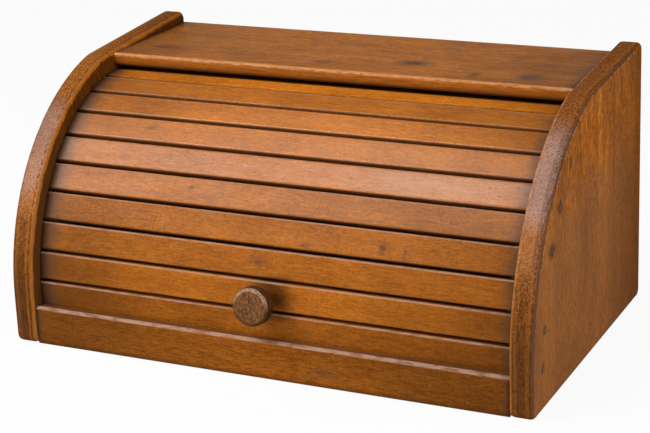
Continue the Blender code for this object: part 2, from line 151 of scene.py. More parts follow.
# Noise that is alike in all directions: its scale, detail and roughness, or its scale alone
CLOUDS = (22.0, 3.0, 0.55)
GRIT = (760.0, 1.0)
SIDE_SPECKS = (1000.0, 2.0, 0.7)
SIDE_NICKS = (330.0, 3.0, 0.65)
ARRIS_CHIPS = (240.0, 4.0, 0.7)
CANVAS_STAINS = (30.0, 3.0)
METAL_GRIT = (1400.0, 2.0)
PORE_PATCHES = 70.0
END_DIRT_AND_SHADE = 130.0
DULL_PATCHES = 18.0
CANVAS_WAVES = 420.0
# Shares of the growth bands, the streaks and the fibres in a wood's figure, and its spread in tone
BAND_SHARE = 0.40
STREAK_SHARE = 0.32
FIBRE_SHARE = 0.28
FIGURE_SPREAD = 0.17

# One row per slat, from the lowest: tone, partly painted light, darkening of the ends, gloss, painted
# shade on the lower edge
SLAT_LOOKS = (
    (0.80, 0.48, 0.04, 0.85),
    (0.91, 0.46, 0.05, 0.85),
    (0.84, 0.24, 0.07, 0.85),
    (0.83, 0.26, 0.09, 0.85),
    (0.93, 0.10, 0.28, 0.85),
    (1.00, 0.00, 0.40, 0.85),
    (1.06, 0.14, 0.46, 0.85),
    (1.16, 0.36, 0.36, 0.85),
    (1.00, 0.28, 0.24, 0.70),
    (1.29, 0.22, 0.005, 0.20),
    (1.00, 0.15, 0.005, 0.85),
)
# From this slat up only a thin worn line, partly a painted highlight, shows on the upper edge
FIRST_THIN_LINE = 9
# Smudges by slat number: x and z on the slat, half length, half height and strength
SLAT_SMUDGES = {
    2: ((-0.0958, 0.0001, 0.0060, 0.0022, 0.60),),
    3: ((-0.0050, 0.0010, 0.0110, 0.0055, 0.80),),
    4: (
        (0.0288, -0.0064, 0.0060, 0.0036, 0.95),
        (0.0224, 0.0009, 0.0030, 0.0045, 0.55),
        (0.0855, -0.0030, 0.0045, 0.0090, 0.85),
        (0.1022, -0.0045, 0.0030, 0.0085, 0.70),
    ),
    5: (
        (-0.0661, 0.0027, 0.0040, 0.0026, 0.85),
        (0.0500, 0.0, 0.0160, 0.0040, 0.18),
    ),
    7: ((-0.1144, 0.0024, 0.0075, 0.0040, 0.60),),
}
SMUDGE_DEPTH = 0.01
# Wide darker places in the shaded colour and paler places of painted sheen, likewise, and then their
# colour and raggedness. Those near x = 0.01 are the knob's painted shadow on the slats round it
SLAT_SHADES = {
    1: (
        (-0.1650, 0.0, 0.0700, 0.02, 0.34, SHADED, 0.3),
        (0.0100, 0.0110, 0.0200, 0.0100, 0.75, SHADED, 0.3),
    ),
    2: (
        (-0.1650, 0.0, 0.0700, 0.02, 0.25, SHADED, 0.3),
        (0.0095, -0.0015, 0.0200, 0.0170, 1.00, SHADED, 0.25),
        (0.0040, 0.0080, 0.0210, 0.0060, 0.75, SHADED, 0.5),
    ),
    3: (
        (-0.1650, 0.0, 0.0700, 0.02, 0.16, SHADED, 0.3),
        (0.0120, -0.0100, 0.0170, 0.0060, 0.60, SHADED, 0.5),
    ),
    5: ((0.1350, 0.0, 0.0900, 0.02, 0.28, SHADED, 0.3),),
    6: ((0.1150, 0.0, 0.1000, 0.02, 0.34, PAINTED_SHEEN, 0.3),),
    7: (
        (-0.1500, 0.0, 0.1000, 0.02, 0.18, SHADED, 0.3),
        (0.0800, 0.0, 0.2200, 0.02, 0.14, PAINTED_SHEEN, 0.3),
    ),
    8: ((0.0, 0.0, 0.2200, 0.02, 0.12, PAINTED_SHEEN, 0.3),),
}
SHADE_DEPTH = 0.02
# Painted shadow under the top board's nose: the heights on a slat between which it grows to its full
# strength
NOSE_SHADOW = {10: (0.0028, 0.0062), 11: (-0.0060, 0.0020)}

# Smudges on the top board: x, y, half length, half width and strength
TOP_SMUDGES = (
    (0.1458, 0.0315, 0.0160, 0.0150, 0.85),
    (0.0509, 0.0465, 0.0200, 0.0110, 0.95),
    (0.1051, 0.0277, 0.0060, 0.0110, 0.75),
    (-0.0133, 0.0305, 0.0170, 0.0080, 0.50),
    (-0.1513, 0.0392, 0.0200, 0.0090, 0.60),
    (-0.0480, 0.0593, 0.0120, 0.0060, 0.35),
)

# Heights on the nose between which its painted shade and its rim's painted highlight grow to full
# strength
NOSE_SHADE = (0.1845, 0.1790)
NOSE_HIGHLIGHT_HEIGHTS = (0.1862, 0.1874)

# Boards of plain wood, each with the seed of its grain
PLAIN_BOARDS = {"back_panel": 5.2, "bottom_board": 6.4, "runner_left": 1.2, "runner_right": 7.7}

# Wear of each side board. sign is the side it is on, seed shifts its grain, and low gives the heights
# of the dark foot, then its strength; the key after glow gives those of a painted sheen. The others are
# strengths: of the inner and outer orange bands, the inner crack, the darkened top and its orange glow,
# the dark arris, the painted highlight on the inner rim and the dark strip beside the outer arris
SIDE_WEAR = {
    "left_side": {
        "sign": -1.0, "seed": 2.2, "inner": 0.60, "outer": 0.22, "crack": 0.60,
        "low": (0.086, 0.78), "top": 0.30, "glow": 0.50, "sheen_stretch": (0.120, 0.155, 0.40),
        "arris": 0.15, "rim": 0.04, "band": 0.10,
    },
    "right_side": {
        "sign": 1.0, "seed": 4.9, "inner": 0.42, "outer": 0.22, "crack": 0.20,
        "low": (0.098, 0.62), "top": 0.12, "glow": 0.03, "sheen_stretch": (0.134, 0.164, 0.62),
        "arris": 0.70, "rim": 0.60, "band": 0.55,
    },
}
# Where wear on the side boards starts and where it is full: heights above the floor, then depths
# from the middle to the back, then a distance from the round front
DULL_HEIGHTS = (0.205, 0.12)
BELOW_TOP = (0.190, 0.165)
TOP_SHADE = (0.163, 0.176)
LOW_BAND = (0.135, 0.100)
GRIMY_HEIGHTS = (0.115, 0.080)
PALE_SPECK_HEIGHTS = (0.05, 0.10)
FOOT_FULL = 0.040
BACK_SHADE = (0.02, 0.118)
AHEAD_OF_BACK = (0.112, 0.095)
FRONT_DIRT = (0.024, 0.004)
# Outer arris wear and inner arris painted highlight, each rising between two heights from low to high
# strength
OUTER_RISE = (0.06, 0.13, 0.15, 0.62)
INNER_HIGHLIGHT_RISE = (0.06, 0.12, 0.10, 1.0)
# Stretches of the side boards' narrow faces: their heights above the floor and how softly they end
TANNED = (0.104, 0.126, 0.016)
GLOWING = (0.172, 0.188, 0.008)
# The stretch of the painted sheen, where the outer band is left out
SHEEN_HEIGHTS = (0.110, 0.165, 0.020)
STRIP_HEIGHTS = (0.105, 0.168, 0.014)
# How softly the painted sheen ends
SHEEN_SOFTNESS = 0.018
# Lines along those faces: how far out from the inner face they lie, and how softly they end
FIRST_BAND = (0.0004, 0.0019, 0.0006)
SECOND_BAND = (0.0038, 0.0052, 0.0008)
OUTER_BAND = (0.0118, 0.0138, 0.0010)
GRIMY_LINE = (0.0045, 0.0108, 0.0012)
DARK_STRIP = (0.0116, 0.0150, 0.0012)
INNER_CRACK = (0.0028, 0.0034, 0.0005)
OUTER_CRACK = (0.0142, 0.0152, 0.0005)
# Parts of the rounded edges, by how far they face outwards: 1 on the outer face, -1 on the inner
DARK_ARRIS = (0.62, 0.90, 0.12)
OUTER_WEAR = (0.94, 0.985, 0.02)
# The inner part of the edge that gets a painted highlight
INNER_HIGHLIGHT = (-0.80, -0.40, 0.15)

# Nail heads: y, z, and then their dirt's half height, half width and strength
NAILS = (
    (-0.0464, 0.1538, 0.0075, 0.0050, 0.80),
    (-0.0684, 0.1302, 0.0078, 0.0085, 0.85),
    (-0.0850, 0.1053, 0.0082, 0.0095, 0.90),
    (-0.0991, 0.0560, 0.0055, 0.0055, 0.70),
    (-0.1031, 0.0303, 0.0060, 0.0050, 0.70),
)
NAIL_RADIUS = 0.0016
NAIL_PROUD = 0.00015
BACK_NAIL_COUNT = 5
BACK_NAIL_HEIGHT = 0.0045
BACK_NAIL_INSET = 0.02


class Surface:
    """A material that is built up node by node from its place on the object."""

    def __init__(self, name):
        self.material = bpy.data.materials.new(name)
        self.material.use_nodes = True
        self.tree = self.material.node_tree
        self.shader = self.tree.nodes["Principled BSDF"]
        texture = self.tree.nodes.new("ShaderNodeTexCoord")
        self.place = texture.outputs["Object"]
        self.facing = texture.outputs["Normal"]

    def put(self, socket, value):
        if isinstance(value, bpy.types.NodeSocket):
            self.tree.links.new(value, socket)
        else:
            socket.default_value = value

    def add(self, kind, inputs, output=0, **settings):
        node = self.tree.nodes.new(kind)
        for key, value in settings.items():
            setattr(node, key, value)
        for key, value in inputs.items():
            self.put(node.inputs[key], value)
        return node.outputs[output]

    def math(self, operation, *values):
        return self.add("ShaderNodeMath", dict(enumerate(values)), operation=operation)

    def times(self, first, *others):
        for other in others:
            first = self.math("MULTIPLY", first, other)
        return first

    def vector(self, operation, *values, output=0):
        return self.add("ShaderNodeVectorMath", dict(enumerate(values)), output, operation=operation)

    def combined(self, x=0.0, y=0.0, z=0.0):
        return self.add("ShaderNodeCombineXYZ", {0: x, 1: y, 2: z})

    def part(self, vector, axis):
        return self.add("ShaderNodeSeparateXYZ", {0: vector}, axis)

    def noise(self, vector, scale=1.0, detail=2.0, roughness=0.5):
        inputs = {"Vector": vector, "Scale": scale, "Detail": detail, "Roughness": roughness}
        return self.add("ShaderNodeTexNoise", inputs, "Fac")

    def wander(self, noise, reach):
        """Turns noise into a shift of up to half the reach to either side."""
        return self.times(self.math("SUBTRACT", noise, 0.5), reach)

    def between(self, value, low, high, to_low=0.0, to_high=1.0):
        """Goes smoothly from one value at low to the other at high, and stays there beyond."""
        inputs = {0: value, 1: low, 2: high, 3: to_low, 4: to_high}
        return self.add("ShaderNodeMapRange", inputs, interpolation_type="SMOOTHSTEP")

    def window(self, value, low, high, soft):
        """One between low and high, and zero a little outside them."""
        return self.times(self.between(value, low - soft, low), self.between(value, high + soft, high))

    def mix(self, factor, first, second, blend="MIX"):
        def colour(value):
            return (*value, 1.0) if isinstance(value, tuple) else value
        inputs = {0: factor, 6: colour(first), 7: colour(second)}
        return self.add("ShaderNodeMix", inputs, 2, data_type="RGBA", blend_type=blend)

    def turned(self, vector, turn, shift):
        """A place in the axes that turn and shift lead to."""
        inputs = {"Vector": vector, "Rotation": turn, "Location": shift}
        return self.add("ShaderNodeMapping", inputs, vector_type="POINT")

    def redirected(self, vector, turn):
        """A direction in the axes that turn leads to."""
        return self.add("ShaderNodeMapping", {"Vector": vector, "Rotation": turn}, vector_type="VECTOR")

    def finish(self, colour, roughness, relief, depth, specular=0.5):
        self.put(self.shader.inputs["Base Color"], colour)
        self.put(self.shader.inputs["Roughness"], roughness)
        self.shader.inputs["Specular IOR Level"].default_value = specular
        bump = self.add("ShaderNodeBump", {"Height": relief, "Distance": depth, "Strength": 1.0})
        self.put(self.shader.inputs["Normal"], bump)
        return self.material


class Wood(Surface):
    """Varnished wood whose grain runs along the piece's own X axis.

    turn and shift take the object's coordinates to the piece's own axes, and seed moves the grain.
    """

    def __init__(self, name, turn=(0, 0, 0), shift=(0, 0, 0), seed=0.0):
        super().__init__(name)
        self.local = self.turned(self.place, turn, shift)
        self.normal = self.redirected(self.facing, turn)
        self.grain = self.vector("ADD", self.local, (seed * 1.37, seed * 0.71, seed * 0.43))
        self.colour = None
        self.relief = None

    def stretched(self, vector, along, across):
        return self.vector("MULTIPLY", vector, (along, across, across))

    def grained(self, along, across, detail=2.0, roughness=0.5, vector=None):
        """Noise drawn out along the grain. along and across are its scales, per metre."""
        place = self.grain if vector is None else vector
        return self.noise(self.stretched(place, along, across), detail=detail, roughness=roughness)

    def figure(self, light, dark, tone=1.0, waviness=0.02, contrast=1.0):
        """Growth bands, streaks and fibres, from wide to fine."""
        bend = self.wander(self.grained(*BENDS), waviness)
        bent = self.vector("ADD", self.grain, self.combined(y=bend, z=bend))
        broad = self.grained(*GROWTH_BANDS, vector=bent)
        streak = self.grained(*STREAKS, vector=bent)
        fibre = self.grained(*FIBRES)
        factor = self.math("ADD", self.times(broad, BAND_SHARE), self.times(streak, STREAK_SHARE))
        factor = self.math("ADD", factor, self.times(fibre, FIBRE_SHARE))
        half = FIGURE_SPREAD / contrast
        colour = self.mix(self.between(factor, 0.5 - half, 0.5 + half), dark, light)
        lift = self.times(self.unevenness(fibre, contrast), tone)
        self.colour = self.mix(1.0, colour, self.combined(lift, lift, lift), "MULTIPLY")
        self.relief = self.math("ADD", self.times(fibre, 0.5), self.times(streak, 0.5))

    def unevenness(self, fibre, contrast):
        """A factor about one: fine lines along the fibres, wide clouds and fine grit."""
        line = self.between(fibre, 0.34, 0.66, 1.0 - 0.19 * contrast, 1.0 + 0.17 * contrast)
        cloud = self.between(self.noise(self.grain, *CLOUDS), 0.3, 0.7, -0.10, 0.10)
        grit = self.between(self.noise(self.grain, *GRIT), 0.34, 0.66, -0.12, 0.12)
        return self.math("ADD", self.math("ADD", line, cloud), grit)

    def cover(self, mask, colour):
        """Paints over what is there, where the mask is above zero."""
        self.colour = self.mix(mask, self.colour, colour)

    def pores(self, strength, along=260.0, across=1150.0):
        """Short dark dashes along the grain, in two cells of five."""
        cell = self.tree.nodes.new("ShaderNodeTexVoronoi")
        self.put(cell.inputs["Vector"], self.stretched(self.grain, along, across))
        cell.inputs["Scale"].default_value = 1.0
        chosen = self.between(self.part(cell.outputs["Color"], 0), 0.60, 0.64)
        patch = self.between(self.noise(self.grain, PORE_PATCHES), 0.36, 0.60, 0.15, 1.0)
        pore = self.times(self.between(cell.outputs["Distance"], 0.46, 0.14), chosen, patch)
        self.cover(self.times(pore, strength), PORE)
        self.relief = self.math("SUBTRACT", self.relief, self.times(pore, 0.9))

    def smears(self, strength):
        """Faint dark clouds drawn out along the grain."""
        self.cover(self.between(self.grained(*SMEARS), 0.56, 0.76, 0.0, strength), SMUDGE)

    def smudge(self, centre, half_size, strength, colour=SMUDGE, raggedness=1.3):
        """One dark mark, ragged along the grain."""
        offset = self.vector("SUBTRACT", self.local, centre)
        inverse = tuple(1 / size for size in half_size)
        distance = self.vector("LENGTH", self.vector("MULTIPLY", offset, inverse), output="Value")
        distance = self.math("ADD", distance, self.wander(self.grained(*RAGGED_RIMS), raggedness))
        self.cover(self.between(distance, 1.0, 0.1, 0.0, strength), colour)

    def fade_ends(self, strength, start=0.05, end=0.18):
        """Darkens the wood evenly towards both ends."""
        fade = self.between(self.math("ABSOLUTE", self.part(self.local, 0)), start, end, 0.0, strength)
        self.cover(fade, SHADED)

    def dirt_and_shade_at_ends(self, reach, left=(0.021, 0.90), right=(0.013, 0.72)):
        """Dirt and painted shade beside the side boards, and a line of painted shade at the very end.

        Each end has the width and the strength of that dirt and shade.
        """
        for sign, (width, strength) in ((-1.0, left), (1.0, right)):
            place = self.times(self.part(self.local, 0), sign)
            ragged = self.math("ADD", place, self.wander(self.noise(self.grain, END_DIRT_AND_SHADE), 0.008))
            # Dirt and painted shade beside the side board
            self.cover(self.between(ragged, reach - width, reach - 0.001, 0.0, strength), GRIME_AND_SHADE)
            # A line of painted shade at the very end
            self.cover(self.between(place, reach - 0.0035, reach - 0.0008, 0.0, 0.80), SHADED)

    def arris(self, direction, colour, strength, ragged, low=0.20, high=0.60, whole=False):
        """Paints the rounded edges that turn up, or down where direction is -1, on the piece's own axes.

        With whole the flat face beyond the edge is painted too.
        """
        towards = self.times(self.part(self.normal, 2), direction)
        mask = self.between(towards, low, high)
        if not whole:
            mask = self.times(mask, self.between(towards, 0.999, 0.97))
        chips = self.between(self.grained(*EDGE_CHIPS), 0.36, 0.60, 1.0 - ragged, 1.0)
        self.cover(self.times(mask, chips, strength), colour)

    def varnish(self, roughness, specular, depth=0.00008):
        """The finished material. depth is how far the pores and fibres reach into the wood."""
        patches = self.grained(*SHEEN_PATCHES)
        sheen = self.between(patches, 0.3, 0.7, roughness - 0.05, roughness + 0.05)
        return self.finish(self.colour, sheen, self.relief, depth, specular)


class SideWood(Wood):
    """A side board's wood, with upright grain and the wear on its faces and edges."""

    def __init__(self, name, wear):
        super().__init__(name, tuple(Euler((0, math.pi / 2, 0))), seed=wear["seed"])
        self.wear = wear
        self.depth = self.part(self.place, 1)
        self.level = self.part(self.place, 2)
        self.outward = self.times(self.part(self.facing, 0), wear["sign"])
        self.broad = self.between(self.outward, 0.97, 0.995)
        self.narrow = self.between(self.math("ABSOLUTE", self.outward), 0.80, 0.35)
        self.facing_in = self.between(self.outward, -0.985, -0.90)
        self.ahead = self.between(self.depth, *AHEAD_OF_BACK)
        inset = self.math("SUBTRACT", self.math("ABSOLUTE", self.part(self.place, 0)), INNER_FACE)
        self.inset = self.math("ADD", inset, self.wander(self.grained(*SIDE_BENDS), 0.0022))
        self.streak = self.grained(*SIDE_STREAKS)
        self.patch = self.between(self.streak, 0.36, 0.58, 0.35, 1.0)

    def from_outline(self):
        """How far a point lies in from the round front."""
        y = self.math("MINIMUM", self.math("SUBTRACT", self.depth, ROUND_CENTRE[0]), 0.0)
        z = self.math("MAXIMUM", self.math("SUBTRACT", self.level, ROUND_CENTRE[1]), 0.0)
        reach = self.vector("LENGTH", self.combined(y=y, z=z), output="Value")
        return self.math("SUBTRACT", OUTLINE_RADIUS, reach)

    def broad_face(self):
        """The outer face: duller below, darker at the back, pitted, and grimy along the front edge."""
        level = self.math("ADD", self.level, self.times(self.noise(self.place, DULL_PATCHES), 0.06))
        self.cover(self.times(self.between(level, *DULL_HEIGHTS), 0.70), SIDE_DULL)
        self.cover(self.between(self.depth, *BACK_SHADE, 0.0, 0.66), SIDE_BACK)
        pits = self.between(self.grained(*SIDE_PITS), 0.53, 0.66)
        self.cover(self.times(pits, self.broad, 0.42), PORE)
        rim = self.between(self.from_outline(), *FRONT_DIRT)
        below_top = self.between(self.level, *BELOW_TOP)
        self.cover(self.times(rim, self.broad, below_top, 0.55), RIM_DIRT)

    def narrow_face(self):
        """The front and top edges: speckled brown, darkest at the foot, with a painted sheen half way
        up.
        """
        edge = self.grained(*SIDE_SPECKLE)
        edge_colour = self.mix(self.between(edge, 0.32, 0.68), EDGE_DARK, EDGE_LIGHT)
        self.cover(self.times(self.narrow, 0.92), edge_colour)
        start, strength = self.wear["low"]
        foot = self.between(self.level, start, FOOT_FULL, 0.0, strength)
        self.cover(self.times(self.narrow, foot), EDGE_LOW)
        tanned = self.times(self.window(self.level, *TANNED), self.narrow, self.ahead)
        self.cover(self.times(tanned, 0.45), TAN)
        upper = self.between(self.level, *TOP_SHADE, 0.0, self.wear["top"])
        self.cover(self.times(self.narrow, upper), SHADED)
        speckle = self.between(edge, 0.34, 0.60, 0.3, 1.0)
        glow = self.times(self.window(self.level, *GLOWING), speckle, self.narrow)
        self.cover(self.times(glow, self.wear["glow"]), BAND_ORANGE)
        # A painted sheen on the narrow faces, half way up
        low, high, strength = self.wear["sheen_stretch"]
        sheen_place = self.window(self.level, low, high, SHEEN_SOFTNESS)
        self.cover(self.times(sheen_place, self.narrow, self.ahead, strength), GREY_WEAR_AND_SHEEN)

    def bands(self):
        """Orange lines where the varnish has lasted, two inside and one outside."""
        low_down = self.between(self.level, *LOW_BAND)
        first = self.window(self.inset, *FIRST_BAND)
        second = self.times(self.window(self.inset, *SECOND_BAND), low_down)
        inner = self.times(self.math("MAXIMUM", first, second), self.facing_in, self.patch)
        self.cover(self.times(inner, self.wear["inner"]), BAND_ORANGE)
        # No outer band where the painted sheen lies
        outside_sheen = self.math("SUBTRACT", 1.0, self.window(self.level, *SHEEN_HEIGHTS))
        outer = self.times(self.window(self.inset, *OUTER_BAND), outside_sheen, self.patch)
        self.cover(self.times(outer, self.wear["outer"]), BAND_ORANGE)

    def specks(self):
        """Grime low down along the middle, and dark and pale specks all over the narrow faces."""
        low_down = self.between(self.level, *GRIMY_HEIGHTS)
        grimy = self.times(self.window(self.inset, *GRIMY_LINE), low_down)
        self.cover(self.times(grimy, self.between(self.streak, 0.46, 0.60), 0.55), PORE)
        speck = self.noise(self.place, *SIDE_SPECKS)
        self.cover(self.times(self.between(speck, 0.50, 0.62), self.narrow, 0.50), PORE)
        high_up = self.between(self.level, *PALE_SPECK_HEIGHTS)
        self.cover(self.times(self.between(speck, 0.46, 0.34), self.narrow, high_up, 0.30), GREY_WEAR_AND_SHEEN)

    def cracks(self):
        """A dark strip beside the outer arris, and nicked lines near both arrises."""
        strip = self.times(self.window(self.inset, *DARK_STRIP), self.window(self.level, *STRIP_HEIGHTS))
        self.cover(self.times(strip, self.narrow, self.patch, self.wear["band"]), ARRIS_DARK)
        nick = self.between(self.noise(self.place, *SIDE_NICKS), 0.44, 0.54)
        inner = self.times(self.window(self.inset, *INNER_CRACK), nick, self.facing_in)
        self.cover(self.times(inner, self.wear["crack"]), PORE)
        self.cover(self.times(self.window(self.inset, *OUTER_CRACK), nick, 0.45), PORE)

    def arrises(self):
        """The rounded edges: dark with chipped pale lines, a painted highlight inside, and the inner
        face in painted shade.
        """
        dark = self.times(self.window(self.outward, *DARK_ARRIS), self.ahead)
        self.cover(self.times(dark, self.wear["arris"]), ARRIS_DARK)
        chip = self.between(self.noise(self.place, *ARRIS_CHIPS), 0.47, 0.58)
        rising = self.between(self.level, *OUTER_RISE)
        self.cover(self.times(self.window(self.outward, *OUTER_WEAR), self.ahead, chip, rising), WORN_AND_HIGHLIGHT)
        # A painted highlight along the inner arris, fuller higher up
        rising = self.between(self.level, *INNER_HIGHLIGHT_RISE)
        inner_highlight = self.times(self.window(self.outward, *INNER_HIGHLIGHT), rising)
        self.cover(self.times(inner_highlight, chip, self.wear["rim"]), WORN_AND_HIGHLIGHT)
        self.cover(self.between(self.outward, -0.96, -0.995, 0.0, 0.80), SHADED)

    def nail_dirt(self):
        """A dark ring round each nail head, drawn out along the grain."""
        for y, z, half_height, half_width, strength in NAILS:
            centre = (z, y, -self.wear["sign"] * OUTER_FACE)
            self.smudge(centre, (half_height, half_width, 0.004), strength, NAIL_DIRT, 0.9)


def place_of(node):
    """The turn and shift that take object coordinates to a slat's own axes, from its section."""
    points = np.array([v.co[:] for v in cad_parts[node].data.vertices])
    section = points[:, 1:] - points[:, 1:].mean(0)
    along = np.linalg.eigh(section.T @ section)[1][:, 1]
    if along[1] < 0:
        along = -along
    middle = Vector((points.min(0) + points.max(0)) / 2)
    turn = Euler((math.atan2(along[0], along[1]), 0, 0))
    shift = -(turn.to_matrix() @ middle)
    return tuple(turn), tuple(shift)


def smooth(item, angle):
    """Rounded edges shade smoothly and broad faces stay flat; the mesh itself is untouched."""
    item.data.shade_smooth()
    weld = item.modifiers.new("Weld", "WELD")
    weld.merge_threshold = 0.00001
    split = item.modifiers.new("Sharp edges", "EDGE_SPLIT")
    split.use_edge_sharp = False
    split.split_angle = math.radians(angle)
    weighted = item.modifiers.new("Weighted", "WEIGHTED_NORMAL")
    weighted.mode = "FACE_AREA"
    weighted.weight = 100


def dress(node, material, angle=40):
    """Gives a node its material. Edges that turn by more than the angle, in degrees, stay sharp."""
    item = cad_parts[node]
    item.data.materials.clear()
    item.data.materials.append(material)
    smooth(item, angle)


def mark_slat(wood, number):
    """The smudges and the wide darker and paler places of one slat."""
    for x, z, half_length, half_height, strength in SLAT_SMUDGES.get(number, ()):
        wood.smudge((x, 0, z), (half_length, SMUDGE_DEPTH, half_height), strength)
    for x, z, half_length, half_height, *finish in SLAT_SHADES.get(number, ()):
        wood.smudge((x, 0, z), (half_length, SHADE_DEPTH, half_height), *finish)


def edge_slat(wood, number, under):
    """Worn upper edge with a painted highlight, painted shade on the lower edge and under the nose."""
    if number < FIRST_THIN_LINE:
        # Worn upper edge, partly a painted highlight
        wood.arris(1, WORN_AND_HIGHLIGHT, 0.70, ragged=0.6)
    else:
        wood.arris(1, WORN_AND_HIGHLIGHT, 1.0, ragged=0.3, low=0.0, high=0.14)
    # Painted shade on the lower edge and the underside
    wood.arris(-1, SHADED, under, ragged=0.10, low=0.50, high=0.90, whole=True)
    # Painted shadow under the top board's nose
    if number in NOSE_SHADOW:
        start, full = NOSE_SHADOW[number]
        wood.cover(wood.between(wood.part(wood.local, 2), start, full, 0.0, 0.96), DEEP_SHADE)


def dress_slats():
    for number, (tone, fade, gloss, under) in enumerate(SLAT_LOOKS, 1):
        node = f"slat_{number:02d}"
        wood = Wood(f"{node}_wood", *place_of(node), seed=number * 1.7)
        wood.figure(SLAT_LIGHT, SLAT_DARK, tone, contrast=0.68)
        wood.pores(0.32)
        wood.smears(0.16)
        mark_slat(wood, number)
        wood.fade_ends(fade)
        wood.dirt_and_shade_at_ends(SLAT_HALF_LENGTH)
        edge_slat(wood, number, under)
        dress(node, wood.varnish(0.38, specular=gloss))


def dress_nose(wood):
    """The top board's rounded front: a painted highlight along its upper rim, painted shade lower down
    and underneath.
    """
    forward = wood.times(wood.part(wood.normal, 1), -1.0)
    level = wood.part(wood.place, 2)
    front = wood.between(forward, 0.25, 0.55)
    mottle = wood.between(wood.grained(*NOSE_MOTTLE), 0.35, 0.62, 0.95, 0.55)
    wood.cover(wood.times(front, mottle), NOSE_BROWN)
    deep = wood.between(wood.grained(*NOSE_LINES), 0.44, 0.60, 0.0, 0.62)
    wood.cover(wood.times(front, deep), NOSE_DEEP)
    # Painted shade lower down the nose
    wood.cover(wood.times(front, wood.between(level, *NOSE_SHADE, 0.0, 0.85)), SHADED)
    chips = wood.grained(*NOSE_CHIPS)
    ragged = wood.math("ADD", level, wood.wander(chips, 0.0032))
    # Painted highlight along the nose's upper rim
    rim = wood.times(wood.between(forward, 0.12, 0.40), wood.between(ragged, *NOSE_HIGHLIGHT_HEIGHTS))
    wood.cover(wood.times(rim, wood.between(chips, 0.36, 0.58, 0.35, 0.80)), NOSE_RIM_HIGHLIGHT)
    # Painted shade on the nose's underside
    under = wood.between(wood.part(wood.normal, 2), -0.15, -0.55)
    wood.cover(wood.times(under, 0.9), SHADED)


def dress_top_board():
    wood = Wood("top_board_wood", seed=3.1)
    wood.figure(TOP_LIGHT, TOP_DARK, waviness=0.05)
    wood.pores(0.42)
    wood.smears(0.28)
    for x, y, half_length, half_width, strength in TOP_SMUDGES:
        wood.smudge((x, y, TOP_FACE), (half_length, half_width, 0.02), strength, raggedness=0.8)
    wood.fade_ends(0.36, 0.08, 0.19)
    wood.dirt_and_shade_at_ends(INNER_FACE, (0.012, 0.40), (0.012, 0.50))
    dress_nose(wood)
    dress("top_board", wood.varnish(0.42, specular=0.12))


def dress_front_rail():
    """The darkest board: grimy on top, a worn, painted highlight on its upper edge and painted shade at
    the floor.
    """
    wood = Wood("front_rail_wood", seed=8.3)
    wood.figure(SLAT_LIGHT, SLAT_DARK, tone=0.66, waviness=0.03)
    wood.pores(0.7)
    wood.smears(0.45)
    wood.fade_ends(0.48, 0.02, 0.15)
    wood.dirt_and_shade_at_ends(INNER_FACE, (0.008, 0.45), (0.008, 0.55))
    on_top = wood.between(wood.part(wood.normal, 2), 0.90, 0.99, 0.0, 0.62)
    wood.cover(on_top, GRIME_AND_SHADE)
    # Worn upper edge, partly a painted highlight
    wood.arris(1, WORN_AND_HIGHLIGHT, 0.80, ragged=0.7, low=0.15, high=0.50)
    # Painted shade where the rail meets the floor
    at_floor = wood.between(wood.part(wood.place, 2), 0.0045, 0.0005)
    wood.cover(wood.times(at_floor, 0.6), SHADED)
    dress("front_rail", wood.varnish(0.42, specular=0.03))


def dress_plain_boards():
    for name, seed in PLAIN_BOARDS.items():
        wood = Wood(name + "_wood", seed=seed)
        wood.figure(PANEL_LIGHT, PANEL_DARK, tone=0.9, waviness=0.06)
        wood.pores(0.4)
        wood.smears(0.30)
        dress(name, wood.varnish(0.60, specular=0.3))


def dress_sides():
    for node, wear in SIDE_WEAR.items():
        wood = SideWood(node + "_wood", wear)
        wood.figure(SIDE_LIGHT, SIDE_DARK, waviness=0.05, contrast=1.5)
        wood.broad_face()
        wood.pores(0.60, along=320.0, across=1100.0)
        wood.smears(0.30)
        wood.narrow_face()
        wood.bands()
        wood.specks()
        wood.cracks()
        wood.arrises()
        wood.nail_dirt()
        dress(node, wood.varnish(0.50, specular=0.001, depth=0.00012))


def knob_wood():
    """Wood whose grain runs upright across the knob's face."""
    turn, _ = place_of("slat_02")
    low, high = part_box("knob")
    upright = Euler((0, math.pi / 2, 0)).to_matrix() @ Euler(turn).to_matrix()
    return Wood("knob_wood", tuple(upright.to_euler()), tuple(-(upright @ ((low + high) / 2))), seed=2.9)


def dress_knob():
    """Dark turned wood: pale flecks on the face, grime and painted shade round the side, a painted
    highlight on the top rim.
    """
    wood = knob_wood()
    wood.figure(KNOB_BROWN, KNOB_DARK, contrast=0.5)
    fleck = wood.grained(*KNOB_FLECKS)
    wood.cover(wood.between(fleck, 0.49, 0.62, 0.0, 0.75), KNOB_LIGHT)
    wood.cover(wood.between(fleck, 0.47, 0.36, 0.0, 0.75), KNOB_DARK)
    ahead = wood.times(wood.part(wood.normal, 1), -1.0)
    # Grime and painted shade round the side
    wood.cover(wood.between(ahead, 0.75, 0.25, 0.0, 0.68), KNOB_GRIME_AND_SHADE)
    up = wood.part(wood.facing, 2)
    # A painted highlight on the rim where it faces up
    rim = wood.times(wood.window(ahead, 0.55, 0.93, 0.12), wood.between(up, 0.10, 0.40))
    wood.cover(wood.times(rim, wood.between(fleck, 0.38, 0.52), 0.70), WORN_AND_HIGHLIGHT)
    # Painted shade on the rim where it faces down
    shaded_low_rim = wood.times(wood.between(ahead, 0.985, 0.80), wood.between(up, 0.10, -0.10))
    wood.cover(wood.times(shaded_low_rim, 0.70), KNOB_GRIME_AND_SHADE)
    wood.relief = wood.math("ADD", wood.relief, wood.times(fleck, 1.2))
    dress("knob", wood.varnish(0.46, specular=0.06, depth=0.00016), angle=50)


